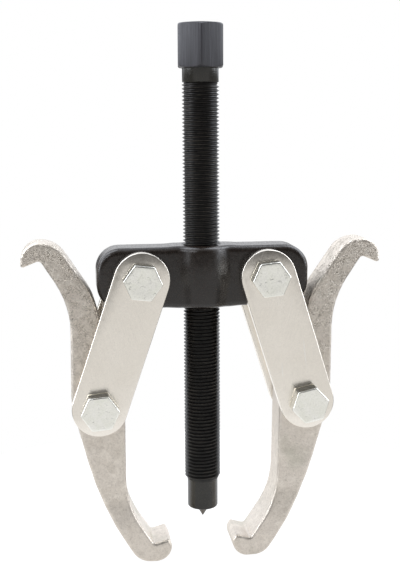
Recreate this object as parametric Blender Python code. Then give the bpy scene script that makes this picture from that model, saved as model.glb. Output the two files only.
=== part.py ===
"""Two-jaw gear puller with reversible jaws.

The origin is on the forcing screw's axis at the height of the two upper pivot bolts.
+Z runs up the screw to its hex head, +X to the right-hand jaw, and -Y to the front,
where the bolt heads are; the lock nuts are on the +Y side.  Units are metres.
"""
import bmesh
import bpy
from math import atan2, ceil, cos, pi, radians, sin, sqrt, tan
from mathutils import Matrix, Vector

MM = 0.001
GAP = 0.3 * MM                      # between pieces that bear on each other

# ---- crosshead: a drop-forged yoke with a round threaded boss in the middle
BAR_THICKNESS = 16.0 * MM           # crosshead arms and jaws are the same thickness
CROSSHEAD_HALF_LENGTH = 41.3 * MM
CROSSHEAD_HALF_HEIGHT = 11.9 * MM
CROSSHEAD_CORNER = 9.3 * MM
CROSSHEAD_EDGE = 2.4 * MM
BOSS_RADIUS = 12.0 * MM
BOSS_HALF_HEIGHT = 12.2 * MM
BOSS_EDGE = 2.0 * MM
PIVOT_HALF_SPAN = 24.45 * MM        # screw axis to each upper bolt

# ---- links: plain straps, one in front and one behind, on each side
LINK_LENGTH = 52.4 * MM             # between bolt centres
LINK_HALF_WIDTH = 10.7 * MM
LINK_THICKNESS = 4.7 * MM
LINK_ANGLE = {"left": 18.9, "right": 17.4}      # degrees outward from straight down

# ---- jaws: S-shaped forgings with a claw at each end, pivoting at the middle
JAW_TURN = {"left": 0.7, "right": -0.7}         # degrees; positive carries the lower claw out
JAW_EDGE = 1.0 * MM
CLAW_HALF = 9.3 * MM                # half thickness at the lower claw
CLAW_SPREAD = (36.0 * MM, 52.0 * MM)    # the jaw thickens between these depths below the pivot
# Corners of the profile about the pivot, in mm: outward, up, corner radius.
JAW_PROFILE = [
    (29.1, 54.1, 1.0),              # tip of the upper claw
    (28.9, 64.2, 7.3),
    (15.6, 64.0, 11.0),             # back of the upper claw
    (2.0, 43.7, 24.0),
    (-10.1, 3.0, 20.0),             # inner edge beside the pivot
    (-10.4, -41.0, 38.0),           # throat above the lower claw
    (-21.3, -57.4, 1.0),
    (-27.1, -55.8, 0.8),            # tip of the lower claw
    (-28.5, -58.4, 1.5),
    (-28.2, -65.3, 6.3),
    (-15.4, -65.0, 8.0),            # back of the lower claw
    (-0.3, -41.6, 120.0),
    (10.8, 0.5, 30.0),              # outer edge beside the pivot
    (10.6, 39.7, 36.0),             # throat under the upper claw
    (21.8, 57.2, 1.6),
]

# ---- pivot bolts, lock nuts and their nylon rings (5/16 inch)
BOLT_RADIUS = 3.95 * MM
BOLT_HOLE_RADIUS = 4.05 * MM
BOLT_HEX = 13.0 * MM                # across flats
BOLT_HEAD = 5.6 * MM
BOLT_HEAD_TURN = {"upper_left": 6.6, "upper_right": -5.9, "lower_left": -4.9, "lower_right": -12.7}
NUT_HEX_HEIGHT = 6.6 * MM
NUT_HEIGHT = 8.7 * MM
NUT_COLLAR_RADIUS = 5.9 * MM
RING_OUTER_RADIUS = 5.0 * MM
RING_HEIGHT = 1.8 * MM
BOLT_PROUD = 1.2 * MM               # end of the bolt beyond the nut
BOLT_SEGMENTS = 24                  # facets round the bolts and their holes

# ---- forcing screw, 9/16 inch with 18 threads to the inch
THREAD_RADIUS = 7.144 * MM
THREAD_PITCH = 25.4 / 18 * MM
THREAD_DEPTH = 0.6134 * THREAD_PITCH
THREAD_SEGMENTS = 12                # around one turn
BORE_CLEARANCE = 0.1 * MM           # plain bore standing in for the crosshead's thread
HEAD_HEX = 16.9 * MM
HEAD_TOP = 95.8 * MM
HEAD_BOTTOM = 79.2 * MM
HEAD_TURN = -5.6                    # degrees about the screw axis
NECK_RADIUS = 6.98 * MM
THREAD_TOP = 74.1 * MM
THREAD_BOTTOM = -83.5 * MM
NOSE_RADIUS = 6.1 * MM
NOSE_FACE = -95.5 * MM

# ---- centre point: a hardened pin that turns in the screw's nose
POINT_TIP = -100.0 * MM
POINT_BASE_RADIUS = 2.5 * MM
POINT_SHANK_RADIUS = 2.0 * MM
POINT_SHANK_TOP = -88.0 * MM
POINT_BORE_RADIUS = 2.08 * MM
POINT_BORE_TOP = -87.2 * MM

LINK_INNER = BAR_THICKNESS / 2 + GAP
LINK_OUTER = LINK_INNER + LINK_THICKNESS
BEARING_FACE = LINK_OUTER + GAP     # where a bolt head or a nut starts


# ---------------------------------------------------------------- helpers

def material(name, colour, roughness, metallic):
    """One Principled material for one piece."""
    mat = bpy.data.materials.new(name)
    mat.use_nodes = True
    shader = mat.node_tree.nodes["Principled BSDF"]
    shader.inputs["Base Color"].default_value = (*colour, 1.0)
    shader.inputs["Roughness"].default_value = roughness
    shader.inputs["Metallic"].default_value = metallic
    return mat


def new_object(name, bm):
    """Turn a bmesh into a named object with its faces pointing out."""
    bmesh.ops.recalc_face_normals(bm, faces=bm.faces)
    mesh = bpy.data.meshes.new(name)
    bm.to_mesh(mesh)
    bm.free()
    obj = bpy.data.objects.new(name, mesh)
    bpy.context.scene.collection.objects.link(obj)
    return obj


def freeze(obj):
    """Replace an object's mesh by its evaluated shape and clear its modifiers."""
    bpy.context.view_layer.update()
    graph = bpy.context.evaluated_depsgraph_get()
    mesh = bpy.data.meshes.new_from_object(obj.evaluated_get(graph))
    obj.modifiers.clear()
    obj.data = mesh
    return obj


def combine(obj, other, operation):
    """Union, cut or intersect obj with other, and remove other."""
    mod = obj.modifiers.new(operation.title(), "BOOLEAN")
    mod.operation = operation
    mod.solver = "EXACT"
    mod.object = other
    freeze(obj)
    bpy.data.objects.remove(other)
    return obj


def bevel(obj, width, segments=1, angle=40.0):
    mod = obj.modifiers.new("Bevel", "BEVEL")
    mod.width = width
    mod.segments = segments
    mod.limit_method = "ANGLE"
    mod.angle_limit = radians(angle)
    return freeze(obj)


def circle_radius(flat_radius, segments):
    """Corner radius of a polygon whose flats lie at flat_radius."""
    return flat_radius / cos(pi / segments)


def rounded(corners, step=12.0):
    """Outline with an arc in each corner; corners are (x, z, radius) in order."""
    outline = []
    count = len(corners)
    for i, (x, z, radius) in enumerate(corners):
        here = Vector((x, z))
        back = (Vector(corners[i - 1][:2]) - here).normalized()
        ahead = (Vector(corners[(i + 1) % count][:2]) - here).normalized()
        half = back.angle(ahead) / 2
        reach = radius / tan(half)
        centre = here + (back + ahead).normalized() * (radius / sin(half))
        start = here + back * reach - centre
        a0 = atan2(start.y, start.x)
        turn = pi - 2 * half
        if back.cross(ahead) > 0:
            turn = -turn
        parts = max(1, ceil(abs(turn) / radians(step)))
        for k in range(parts + 1):
            a = a0 + turn * k / parts
            outline.append((centre.x + radius * cos(a), centre.y + radius * sin(a)))
    return outline


def plate(name, outline, y0, y1):
    """Flat plate with an outline in the XZ plane, from y0 to y1."""
    bm = bmesh.new()
    face = bm.faces.new([bm.verts.new((x, y0, z)) for x, z in outline])
    grown = bmesh.ops.extrude_face_region(bm, geom=[face])
    moved = [g for g in grown["geom"] if isinstance(g, bmesh.types.BMVert)]
    bmesh.ops.translate(bm, verts=moved, vec=(0, y1 - y0, 0))
    return new_object(name, bm)


def turned(name, profile, segments, axis="Z"):
    """Solid of revolution; profile is (radius, height) from one end to the other."""
    bm = bmesh.new()
    rings = []
    for radius, height in profile:
        if radius == 0:
            rings.append([bm.verts.new((0, 0, height))])
            continue
        rings.append([bm.verts.new((radius * cos(2 * pi * k / segments),
                                    radius * sin(2 * pi * k / segments), height))
                      for k in range(segments)])
    for low, high in zip(rings, rings[1:]):
        for k in range(segments):
            n = (k + 1) % segments
            quad = [low[k % len(low)], low[n % len(low)], high[n % len(high)], high[k % len(high)]]
            bm.faces.new(list(dict.fromkeys(quad)))
    if len(rings[0]) > 1:
        bm.faces.new(rings[0])
    if len(rings[-1]) > 1:
        bm.faces.new(rings[-1])
    if axis == "Y":
        bmesh.ops.rotate(bm, verts=bm.verts, matrix=Matrix.Rotation(-pi / 2, 3, "X"))
    return new_object(name, bm)


def ring_body(name, profile, segments):
    """Ring along Y; profile is a closed loop of (radius, y)."""
    bm = bmesh.new()
    count = len(profile)
    sections = [[bm.verts.new((r * cos(2 * pi * k / segments), y, r * sin(2 * pi * k / segments)))
                 for r, y in profile] for k in range(segments)]
    for k in range(segments):
        one, two = sections[k], sections[(k + 1) % segments]
        for i in range(count):
            j = (i + 1) % count
            bm.faces.new((one[i], one[j], two[j], two[i]))
    return new_object(name, bm)


def hex_prism(name, across_flats, low, high, axis, turn):
    """Hexagonal prism; a corner lies turn degrees from the first cross axis."""
    corner = across_flats / sqrt(3)
    bm = bmesh.new()
    ends = []
    for height in (low, high):
        ring = []
        for k in range(6):
            a = radians(turn + 60 * k)
            if axis == "Z":
                ring.append(bm.verts.new((corner * cos(a), corner * sin(a), height)))
            else:
                ring.append(bm.verts.new((corner * cos(a), height, -corner * sin(a))))
        ends.append(ring)
    bm.faces.new(ends[0])
    bm.faces.new(ends[1])
    for k in range(6):
        n = (k + 1) % 6
        bm.faces.new((ends[0][k], ends[0][n], ends[1][n], ends[1][k]))
    return new_object(name, bm)


def set_origin(obj, point):
    """Move an object's origin to point without moving its shape."""
    offset = Vector(point)
    obj.data.transform(Matrix.Translation(-offset))
    obj.location = offset
    return obj


def finish(obj, mat, parent=None, smooth=40.0):
    obj.data.materials.clear()
    obj.data.materials.append(mat)
    obj.data.shade_smooth()
    obj.data.set_sharp_from_angle(angle=radians(smooth))
    if parent is not None:
        bpy.context.view_layer.update()
        obj.parent = parent
        obj.matrix_parent_inverse = parent.matrix_world.inverted()
    return obj


def pivot_empty(name, point, parent=None):
    empty = bpy.data.objects.new(name, None)
    empty.empty_display_size = 0.01
    bpy.context.scene.collection.objects.link(empty)
    empty.location = point
    bpy.context.view_layer.update()
    if parent is not None:
        empty.parent = parent
        empty.matrix_parent_inverse = parent.matrix_world.inverted()
        bpy.context.view_layer.update()
    return empty


def bolt_hole(point, half_length):
    """Cutter for a pivot hole along Y through point."""
    radius = circle_radius(BOLT_HOLE_RADIUS, BOLT_SEGMENTS)
    cutter = turned("hole", [(radius, -half_length), (radius, half_length)], BOLT_SEGMENTS, axis="Y")
    cutter.data.transform(Matrix.Translation(point))
    return cutter


# ---------------------------------------------------------------- pieces

def build_crosshead():
    half_l, half_h, r = CROSSHEAD_HALF_LENGTH, CROSSHEAD_HALF_HEIGHT, CROSSHEAD_CORNER
    outline = rounded([(-half_l, -half_h, r), (half_l, -half_h, r),
                       (half_l, half_h, r), (-half_l, half_h, r)], step=18)
    body = plate("crosshead", outline, -BAR_THICKNESS / 2, BAR_THICKNESS / 2)
    bevel(body, CROSSHEAD_EDGE, segments=2, angle=60)
    h, e, c = BOSS_HALF_HEIGHT, BOSS_EDGE, BOSS_RADIUS
    boss = turned("boss", [(c - e, -h), (c - 0.3 * e, -h + 0.3 * e), (c, -h + e),
                           (c, h - e), (c - 0.3 * e, h - 0.3 * e), (c - e, h)], 48)
    combine(body, boss, "UNION")
    radius = circle_radius(THREAD_RADIUS + BORE_CLEARANCE, 48)
    lead = 0.8 * MM
    bore = turned("bore", [(radius + lead, -h - MM), (radius + lead, -h), (radius, -h + lead),
                           (radius, h - lead), (radius + lead, h), (radius + lead, h + MM)], 48)
    combine(body, bore, "DIFFERENCE")
    for side in (-1, 1):
        combine(body, bolt_hole((side * PIVOT_HALF_SPAN, 0, 0), BAR_THICKNESS), "DIFFERENCE")
    return body


def build_link(name, upper, lower, front):
    """Stadium-shaped strap from the upper to the lower bolt centre."""
    along = atan2(lower.z - upper.z, lower.x - upper.x)
    outline = []
    for centre, start in ((lower, along - pi / 2), (upper, along + pi / 2)):
        for k in range(15):
            a = start + pi * k / 14
            outline.append((centre.x + LINK_HALF_WIDTH * cos(a), centre.z + LINK_HALF_WIDTH * sin(a)))
    y0, y1 = (-LINK_OUTER, -LINK_INNER) if front else (LINK_INNER, LINK_OUTER)
    link = plate(name, outline, y0, y1)
    for centre in (upper, lower):
        combine(link, bolt_hole(centre, LINK_OUTER + MM), "DIFFERENCE")
    return set_origin(link, upper)


def spread_claw(jaw, pivot):
    """Thicken the jaw evenly on both faces towards its lower claw."""
    start, stop = CLAW_SPREAD
    bm = bmesh.new()
    bm.from_mesh(jaw.data)
    for depth in (start, stop):
        everything = bm.verts[:] + bm.edges[:] + bm.faces[:]
        bmesh.ops.bisect_plane(bm, geom=everything, plane_co=(0, 0, pivot.z - depth), plane_no=(0, 0, 1))
    for v in bm.verts:
        share = min(max((pivot.z - v.co.z - start) / (stop - start), 0), 1)
        v.co.y *= 1 + share * (2 * CLAW_HALF / BAR_THICKNESS - 1)
    bm.to_mesh(jaw.data)
    bm.free()


def build_jaw(name, pivot, outward, turn):
    """S-shaped jaw; outward is -1 on the left and +1 on the right."""
    a = radians(turn)
    corners = []
    for u, w, r in JAW_PROFILE:
        u2, w2 = u * cos(a) - w * sin(a), u * sin(a) + w * cos(a)
        corners.append((pivot.x + outward * u2 * MM, pivot.z + w2 * MM, r * MM))
    jaw = plate(name, rounded(corners), -BAR_THICKNESS / 2, BAR_THICKNESS / 2)
    spread_claw(jaw, pivot)
    bevel(jaw, JAW_EDGE)
    combine(jaw, bolt_hole(pivot, BAR_THICKNESS), "DIFFERENCE")
    return set_origin(jaw, pivot)


def build_bolt(name, pivot, turn):
    """Hex bolt, head at the front, shank through to the nut."""
    face = -BEARING_FACE - BOLT_HEAD
    corner = BOLT_HEX / sqrt(3)
    head = hex_prism(name, BOLT_HEX, face, -BEARING_FACE, "Y", turn)
    drop = (corner - 0.535 * BOLT_HEX) * tan(radians(30))
    chamfer = turned("chamfer", [(0.535 * BOLT_HEX, face), (corner, face + drop),
                                 (corner * 1.1, face + drop), (corner * 1.1, -BEARING_FACE + MM)],
                     36, axis="Y")
    combine(head, chamfer, "INTERSECT")
    end = BEARING_FACE + NUT_HEIGHT + BOLT_PROUD
    shank = turned("shank", [(BOLT_RADIUS, -BEARING_FACE - MM), (BOLT_RADIUS, end - 0.7 * MM),
                             (BOLT_RADIUS - 0.7 * MM, end)], BOLT_SEGMENTS, axis="Y")
    combine(head, shank, "UNION")
    head.data.transform(Matrix.Translation(pivot))
    return set_origin(head, pivot)


def build_nut(name, pivot, turn):
    """Nylon-insert lock nut: hex body, round collar, groove for the ring inside."""
    low, hex_top, top = BEARING_FACE, BEARING_FACE + NUT_HEX_HEIGHT, BEARING_FACE + NUT_HEIGHT
    corner = BOLT_HEX / sqrt(3)
    nut = hex_prism(name, BOLT_HEX, low, hex_top, "Y", turn)
    drop = (corner - 0.48 * BOLT_HEX) * tan(radians(30))
    chamfer = turned("chamfer", [(0.48 * BOLT_HEX, low), (corner, low + drop),
                                 (corner, hex_top - drop), (0.48 * BOLT_HEX, hex_top)], 24, axis="Y")
    combine(nut, chamfer, "INTERSECT")
    collar = turned("collar", [(NUT_COLLAR_RADIUS, hex_top - MM), (NUT_COLLAR_RADIUS, top - MM),
                               (NUT_COLLAR_RADIUS - 0.5 * MM, top)], 24, axis="Y")
    combine(nut, collar, "UNION")
    thread = BOLT_RADIUS + GAP
    pocket = RING_OUTER_RADIUS + 0.1 * MM
    bore = turned("bore", [(thread, low - MM), (thread, top - RING_HEIGHT - 2 * GAP),
                           (pocket, top - RING_HEIGHT - 2 * GAP), (pocket, top + MM)], 20, axis="Y")
    combine(nut, bore, "DIFFERENCE")
    nut.data.transform(Matrix.Translation(pivot))
    return set_origin(nut, pivot)


def build_ring(name, pivot):
    """Nylon ring in the nut's collar, around the bolt."""
    high = BEARING_FACE + NUT_HEIGHT - GAP
    low = high - RING_HEIGHT
    inner, outer = BOLT_RADIUS + 0.15 * MM, RING_OUTER_RADIUS - 0.15 * MM
    ring = ring_body(name, [(inner, low), (outer, low), (outer, high), (inner, high)], 20)
    ring.data.transform(Matrix.Translation(pivot))
    return set_origin(ring, pivot)


def threaded_rod(name, top, bottom):
    """Rod with a right-hand V thread, a little longer than top to bottom at each end."""
    rows = 2 * ceil((top - bottom) / THREAD_PITCH + 2)
    start = top + THREAD_PITCH
    n = THREAD_SEGMENTS
    bm = bmesh.new()
    column = [[] for _ in range(n)]
    for j in range(n):
        a = 2 * pi * j / n
        for m in range(rows + 1):
            r = THREAD_RADIUS if m % 2 == 0 else THREAD_RADIUS - THREAD_DEPTH
            z = start + THREAD_PITCH * (j / n - m / 2)
            column[j].append(bm.verts.new((r * cos(a), r * sin(a), z)))
    for j in range(n):
        for m in range(rows):
            if j < n - 1:
                bm.faces.new((column[j][m], column[j][m + 1], column[j + 1][m + 1], column[j + 1][m]))
            elif m >= 2:
                bm.faces.new((column[j][m], column[j][m + 1], column[0][m - 1], column[0][m - 2]))
    # the seam is two rows lower on the last column, so each end loop steps along it
    upper = [column[j][0] for j in range(n)] + [column[n - 1][1], column[n - 1][2]]
    lower = [column[j][rows] for j in range(n)] + [column[0][rows - 2], column[0][rows - 1]]
    for loop, height in ((upper, start), (lower, start - THREAD_PITCH * rows / 2)):
        hub = bm.verts.new((0, 0, height))
        for k in range(len(loop)):
            bm.faces.new((loop[k], loop[(k + 1) % len(loop)], hub))
    return new_object(name, bm)


def build_screw():
    """Forcing screw: hex head, relieved neck, long thread, plain nose with a bore."""
    screw = threaded_rod("forcing_screw", THREAD_TOP, THREAD_BOTTOM)
    root = THREAD_RADIUS - THREAD_DEPTH
    wide = THREAD_RADIUS + 0.4 * MM
    low = root - 0.2 * MM
    limits = turned("limits", [(low, THREAD_BOTTOM), (wide, THREAD_BOTTOM + 1.5 * MM),
                               (wide, THREAD_TOP - 1.1 * MM), (low, THREAD_TOP)], 24)
    combine(screw, limits, "INTERSECT")
    corner = HEAD_HEX / sqrt(3)
    head = hex_prism("head", HEAD_HEX, HEAD_BOTTOM, HEAD_TOP, "Z", HEAD_TURN - 90)
    drop = (corner - 0.5 * HEAD_HEX) * tan(radians(30))
    chamfer = turned("chamfer", [(0.49 * HEAD_HEX, HEAD_BOTTOM), (corner, HEAD_BOTTOM + 0.5 * drop),
                                 (corner * 1.02, HEAD_TOP - drop), (0.5 * HEAD_HEX, HEAD_TOP)], 48)
    combine(head, chamfer, "INTERSECT")
    neck = turned("neck", [(NECK_RADIUS, THREAD_TOP - 0.4 * MM), (NECK_RADIUS, HEAD_BOTTOM + MM)], 48)
    combine(head, neck, "UNION")
    combine(screw, head, "UNION")
    bore = circle_radius(POINT_BORE_RADIUS, 24)
    nose = turned("nose", [(NOSE_RADIUS - 0.5 * MM, NOSE_FACE), (NOSE_RADIUS, NOSE_FACE + 0.5 * MM),
                           (NOSE_RADIUS, THREAD_BOTTOM + 3 * MM)], 48)
    combine(screw, nose, "UNION")
    socket = turned("socket", [(bore, NOSE_FACE - MM), (bore, POINT_BORE_TOP)], 24)
    combine(screw, socket, "DIFFERENCE")
    return screw


def build_point():
    """Pin with a 60 degree point below the nose."""
    return turned("center_pin", [(0.15 * MM, POINT_TIP), (POINT_BASE_RADIUS, NOSE_FACE - 0.5 * MM),
                                 (POINT_BASE_RADIUS, NOSE_FACE - GAP),
                                 (POINT_SHANK_RADIUS, NOSE_FACE - GAP),
                                 (POINT_SHANK_RADIUS, POINT_SHANK_TOP - 0.3 * MM),
                                 (POINT_SHANK_RADIUS - 0.3 * MM, POINT_SHANK_TOP)], 24)


def main():
    for obj in list(bpy.data.objects):
        bpy.data.objects.remove(obj)

    oxide = (0.045, 0.042, 0.040)
    zinc = (0.60, 0.59, 0.57)

    root = pivot_empty("puller_root", (0, 0, 0))
    screw_axis = pivot_empty("screw_axis", (0, 0, 0), root)
    finish(build_crosshead(), material("forged_black", (0.055, 0.055, 0.058), 0.45, 0.75), root)
    finish(build_screw(), material("screw_black_oxide", oxide, 0.35, 0.9), screw_axis)
    finish(build_point(), material("point_steel", (0.20, 0.18, 0.16), 0.35, 1.0), screw_axis)

    for side, sign in (("left", -1), ("right", 1)):
        swing = radians(LINK_ANGLE[side])
        upper = Vector((sign * PIVOT_HALF_SPAN, 0, 0))
        lower = upper + LINK_LENGTH * Vector((sign * sin(swing), 0, -cos(swing)))
        link_pivot = pivot_empty(f"link_pivot_{side}", upper, root)
        jaw_pivot = pivot_empty(f"jaw_pivot_{side}", lower, link_pivot)
        for place, front in (("front", True), ("rear", False)):
            link = build_link(f"link_{place}_{side}", upper, lower, front)
            finish(link, material(f"zinc_link_{place}_{side}", zinc, 0.30, 0.95), link_pivot)
        jaw = build_jaw(f"jaw_{side}", lower, sign, JAW_TURN[side])
        finish(jaw, material(f"zinc_jaw_{side}", (0.50, 0.50, 0.49), 0.45, 0.9), jaw_pivot)
        for level, pivot, owner in (("upper", upper, root), ("lower", lower, link_pivot)):
            spot = f"{level}_{side}"
            bolt = build_bolt(f"bolt_{spot}", pivot, BOLT_HEAD_TURN[spot])
            finish(bolt, material(f"zinc_bolt_{spot}", zinc, 0.30, 0.95), owner)
            nut = build_nut(f"nut_{spot}", pivot, BOLT_HEAD_TURN[spot] + 17)
            finish(nut, material(f"zinc_nut_{spot}", zinc, 0.32, 0.95), owner)
            ring = build_ring(f"nylon_ring_{spot}", pivot)
            finish(ring, material(f"nylon_{spot}", (0.10, 0.22, 0.42), 0.5, 0.0), owner)


main()
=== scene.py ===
"""Two-jaw gear puller: detailed pieces, materials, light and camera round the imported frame.

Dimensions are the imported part's own, in metres: the origin is on the forcing screw's axis
level with the upper pivot bolts, +Z runs up the screw and -Y is the front.
"""
from math import atan2, ceil, cos, pi, radians, sin, tan

import bmesh
import bpy
import numpy as np
from mathutils import Matrix, Vector, noise


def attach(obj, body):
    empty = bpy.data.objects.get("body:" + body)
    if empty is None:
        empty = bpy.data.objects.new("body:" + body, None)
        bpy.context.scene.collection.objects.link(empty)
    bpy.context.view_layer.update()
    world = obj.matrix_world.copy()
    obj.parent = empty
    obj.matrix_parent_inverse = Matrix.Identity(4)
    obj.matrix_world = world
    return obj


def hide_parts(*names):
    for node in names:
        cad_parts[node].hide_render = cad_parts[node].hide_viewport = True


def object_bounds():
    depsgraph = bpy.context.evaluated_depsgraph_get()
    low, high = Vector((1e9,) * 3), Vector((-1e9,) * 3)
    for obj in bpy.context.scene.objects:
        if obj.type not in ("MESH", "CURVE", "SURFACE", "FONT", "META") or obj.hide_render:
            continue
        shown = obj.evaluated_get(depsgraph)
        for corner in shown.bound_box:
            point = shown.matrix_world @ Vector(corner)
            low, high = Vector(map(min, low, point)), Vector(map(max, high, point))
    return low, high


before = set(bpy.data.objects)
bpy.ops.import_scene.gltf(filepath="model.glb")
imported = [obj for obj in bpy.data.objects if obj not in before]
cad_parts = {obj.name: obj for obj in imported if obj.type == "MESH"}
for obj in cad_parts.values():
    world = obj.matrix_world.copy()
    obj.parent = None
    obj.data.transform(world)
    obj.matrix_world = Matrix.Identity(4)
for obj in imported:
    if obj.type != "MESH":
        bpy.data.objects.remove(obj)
CAD_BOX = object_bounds()

MM = 0.001
COLUMNS = 48                        # points round every turned shape
GAP = 0.3 * MM

BAR_HALF = 8.0 * MM                 # half thickness of the crosshead arms and the jaws
CROSSHEAD_HALF_LENGTH = 41.3 * MM
CROSSHEAD_HALF_HEIGHT = 11.9 * MM
CROSSHEAD_CORNER = 9.3 * MM
CROSSHEAD_EDGE = 2.4 * MM
CROSSHEAD_FILLET = 2.0 * MM         # blend between the boss and the arms
CROSSHEAD_CROWN = 0.35 * MM         # the arms' faces fall away towards the top and bottom
BOSS_CROWN = 0.9 * MM
BOSS_RADIUS = 12.0 * MM
BOSS_LIFT = 0.3 * MM                # the boss stands this far above and below the arms
PIVOT_HALF_SPAN = 24.45 * MM

LINK_LENGTH = 52.4 * MM
LINK_HALF_WIDTH = 10.7 * MM
LINK_THICKNESS = 4.7 * MM
LINK_EDGE = 0.36 * MM
LINK_END_STEPS = 36                 # straight steps round each end of a link
LINK_ANGLE = {"left": 18.9, "right": 17.4}
JAW_TURN = {"left": 0.7, "right": -0.7}
JAW_EDGE, JAW_REAR_EDGE = 1.2 * MM, 2.8 * MM      # rounding of the front and rear edges
CLAW_HALF = 9.3 * MM                # half thickness at the lower claw
CLAW_SPREAD = (36.0 * MM, 52.0 * MM)    # the jaw thickens between these depths below the pivot
JAW_PROFILE = [                     # outward, up, corner radius in mm, about the pivot
    (29.1, 54.1, 1.0), (28.9, 64.2, 7.3), (15.6, 64.0, 11.0), (2.0, 43.7, 24.0), (-10.1, 3.0, 20.0),
    (-10.4, -41.0, 38.0), (-21.3, -57.4, 1.0), (-27.1, -55.8, 0.8), (-28.5, -58.4, 1.5),
    (-28.2, -65.3, 6.3), (-15.4, -65.0, 8.0), (-0.3, -41.6, 120.0), (10.8, 0.5, 30.0),
    (10.6, 39.7, 36.0), (21.8, 57.2, 1.6),
]

CROSSHEAD_VOXEL = JAW_VOXEL = 0.5 * MM
CROSSHEAD_SKIN = (0.16 * MM, 160.0)     # depth of the uneven forged skin, and its scale per metre
JAW_SKIN = (0.14 * MM, 210.0)

BOLT_RADIUS = 3.95 * MM
BOLT_HOLE_RADIUS = 4.05 * MM
BOLT_HEX = 13.0 * MM
BOLT_HEAD = 5.6 * MM
BOLT_TOP_CHAMFER = 0.548 * BOLT_HEX     # radius where the head's end face meets its chamfer
BOLT_SEAT_CHAMFER = 0.53 * BOLT_HEX
NUT_CHAMFER = 0.48 * BOLT_HEX
THREAD_RUNOUT = 8.5 * MM                # a bolt is threaded beyond this distance behind its middle
BOLT_HEAD_TURN = {"upper_left": 6.6, "upper_right": -5.9, "lower_left": -4.9, "lower_right": -12.7}
BOLT_PITCH = 25.4 / 18 * MM
NUT_TURN = 17.0                     # degrees from the bolt head's corners to the nut's
NUT_HEX_HEIGHT = 6.6 * MM
NUT_HEIGHT = 8.7 * MM
NUT_COLLAR_RADIUS = 5.9 * MM
RING_OUTER_RADIUS = 4.85 * MM
RING_INNER_RADIUS = 4.1 * MM
RING_HEIGHT = 1.8 * MM
BOLT_PROUD = 1.2 * MM
LINK_INNER = BAR_HALF + GAP
LINK_OUTER = LINK_INNER + LINK_THICKNESS
BEARING_FACE = LINK_OUTER + GAP

THREAD_RADIUS = 7.144 * MM
THREAD_PITCH = 25.4 / 18 * MM
HEAD_HEX = 16.9 * MM
HEAD_TOP_CHAMFER = 0.495 * HEAD_HEX
HEAD_SEAT_CHAMFER = 0.488 * HEAD_HEX
HEAD_TOP = 95.8 * MM
HEAD_BOTTOM = 79.2 * MM
HEAD_TURN = -95.6
NECK_RADIUS = 6.98 * MM
HEX_SLOT, TURNED_SLOT = 1, 2        # the screw's material slots after the thread's own
THREAD_TOP = 74.1 * MM
THREAD_BOTTOM = -83.5 * MM
NOSE_RADIUS = 6.1 * MM
NOSE_FACE = -95.5 * MM
POINT_TIP = -100.0 * MM
POINT_BASE_RADIUS = 2.5 * MM
POINT_SHANK_RADIUS = 2.0 * MM
POINT_SHANK_TOP = -88.0 * MM
POINT_BORE_RADIUS = 2.08 * MM
POINT_BORE_TOP = -87.2 * MM

# ISO and UNF threads alike: (share of the pitch, depth as a share of the full depth)
THREAD_FORM = [(0.0, 0.07), (0.03, 0.0), (0.10, 0.0), (0.13, 0.07), (0.48, 1.0), (0.645, 1.0)]
THREAD_DEPTH_SHARE = 0.6134


# ---------------------------------------------------------------- mesh helpers

def new_object(name, bm):
    bmesh.ops.recalc_face_normals(bm, faces=bm.faces)
    mesh = bpy.data.meshes.new(name)
    bm.to_mesh(mesh)
    bm.free()
    obj = bpy.data.objects.new(name, mesh)
    bpy.context.scene.collection.objects.link(obj)
    return obj


def freeze(obj):
    """Replace an object's mesh by its evaluated shape and clear its modifiers."""
    bpy.context.view_layer.update()
    graph = bpy.context.evaluated_depsgraph_get()
    mesh = bpy.data.meshes.new_from_object(obj.evaluated_get(graph))
    obj.modifiers.clear()
    obj.data = mesh
    return obj


def cut(obj, cutter):
    mod = obj.modifiers.new("Cut", "BOOLEAN")
    mod.operation, mod.solver, mod.object = "DIFFERENCE", "EXACT", cutter
    freeze(obj)
    bpy.data.objects.remove(cutter)


def shade(obj, *materials, sharp=35.0):
    for mat in materials:
        obj.data.materials.append(mat)
    obj.data.shade_smooth()
    obj.data.set_sharp_from_angle(angle=radians(sharp))
    return obj


def spot(u, v, height, axis):
    """A point of a turned shape; on the Y axis the height is y and v runs down."""
    return Vector((u, v, height)) if axis == "Z" else Vector((u, height, -v))


def circle(bm, radius, height, axis, start=0.0):
    """Ring of vertices; a radius of nothing gives one vertex."""
    if radius == 0:
        return [bm.verts.new(spot(0, 0, height, axis))]
    angles = [start + 2 * pi * j / COLUMNS for j in range(COLUMNS)]
    return [bm.verts.new(spot(radius * cos(a), radius * sin(a), height, axis)) for a in angles]


def skin(bm, rings, loop=False):
    """Faces between rings of equal length, where a ring of one vertex is a pole."""
    pairs = list(zip(rings, rings[1:])) + ([(rings[-1], rings[0])] if loop else [])
    for one, two in pairs:
        count = max(len(one), len(two))
        for j in range(count):
            i = (j + 1) % count
            corners = [one[j % len(one)], one[i % len(one)], two[i % len(two)], two[j % len(two)]]
            corners = list(dict.fromkeys(corners))
            if len(corners) > 2:
                bm.faces.new(corners)


def turned(name, profile, axis="Z", centre=(0, 0, 0)):
    """Solid of revolution; profile is (radius, height), starting and ending on the axis."""
    bm = bmesh.new()
    skin(bm, [circle(bm, r, h, axis) for r, h in profile])
    bmesh.ops.translate(bm, verts=bm.verts, vec=centre)
    return new_object(name, bm)


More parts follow.
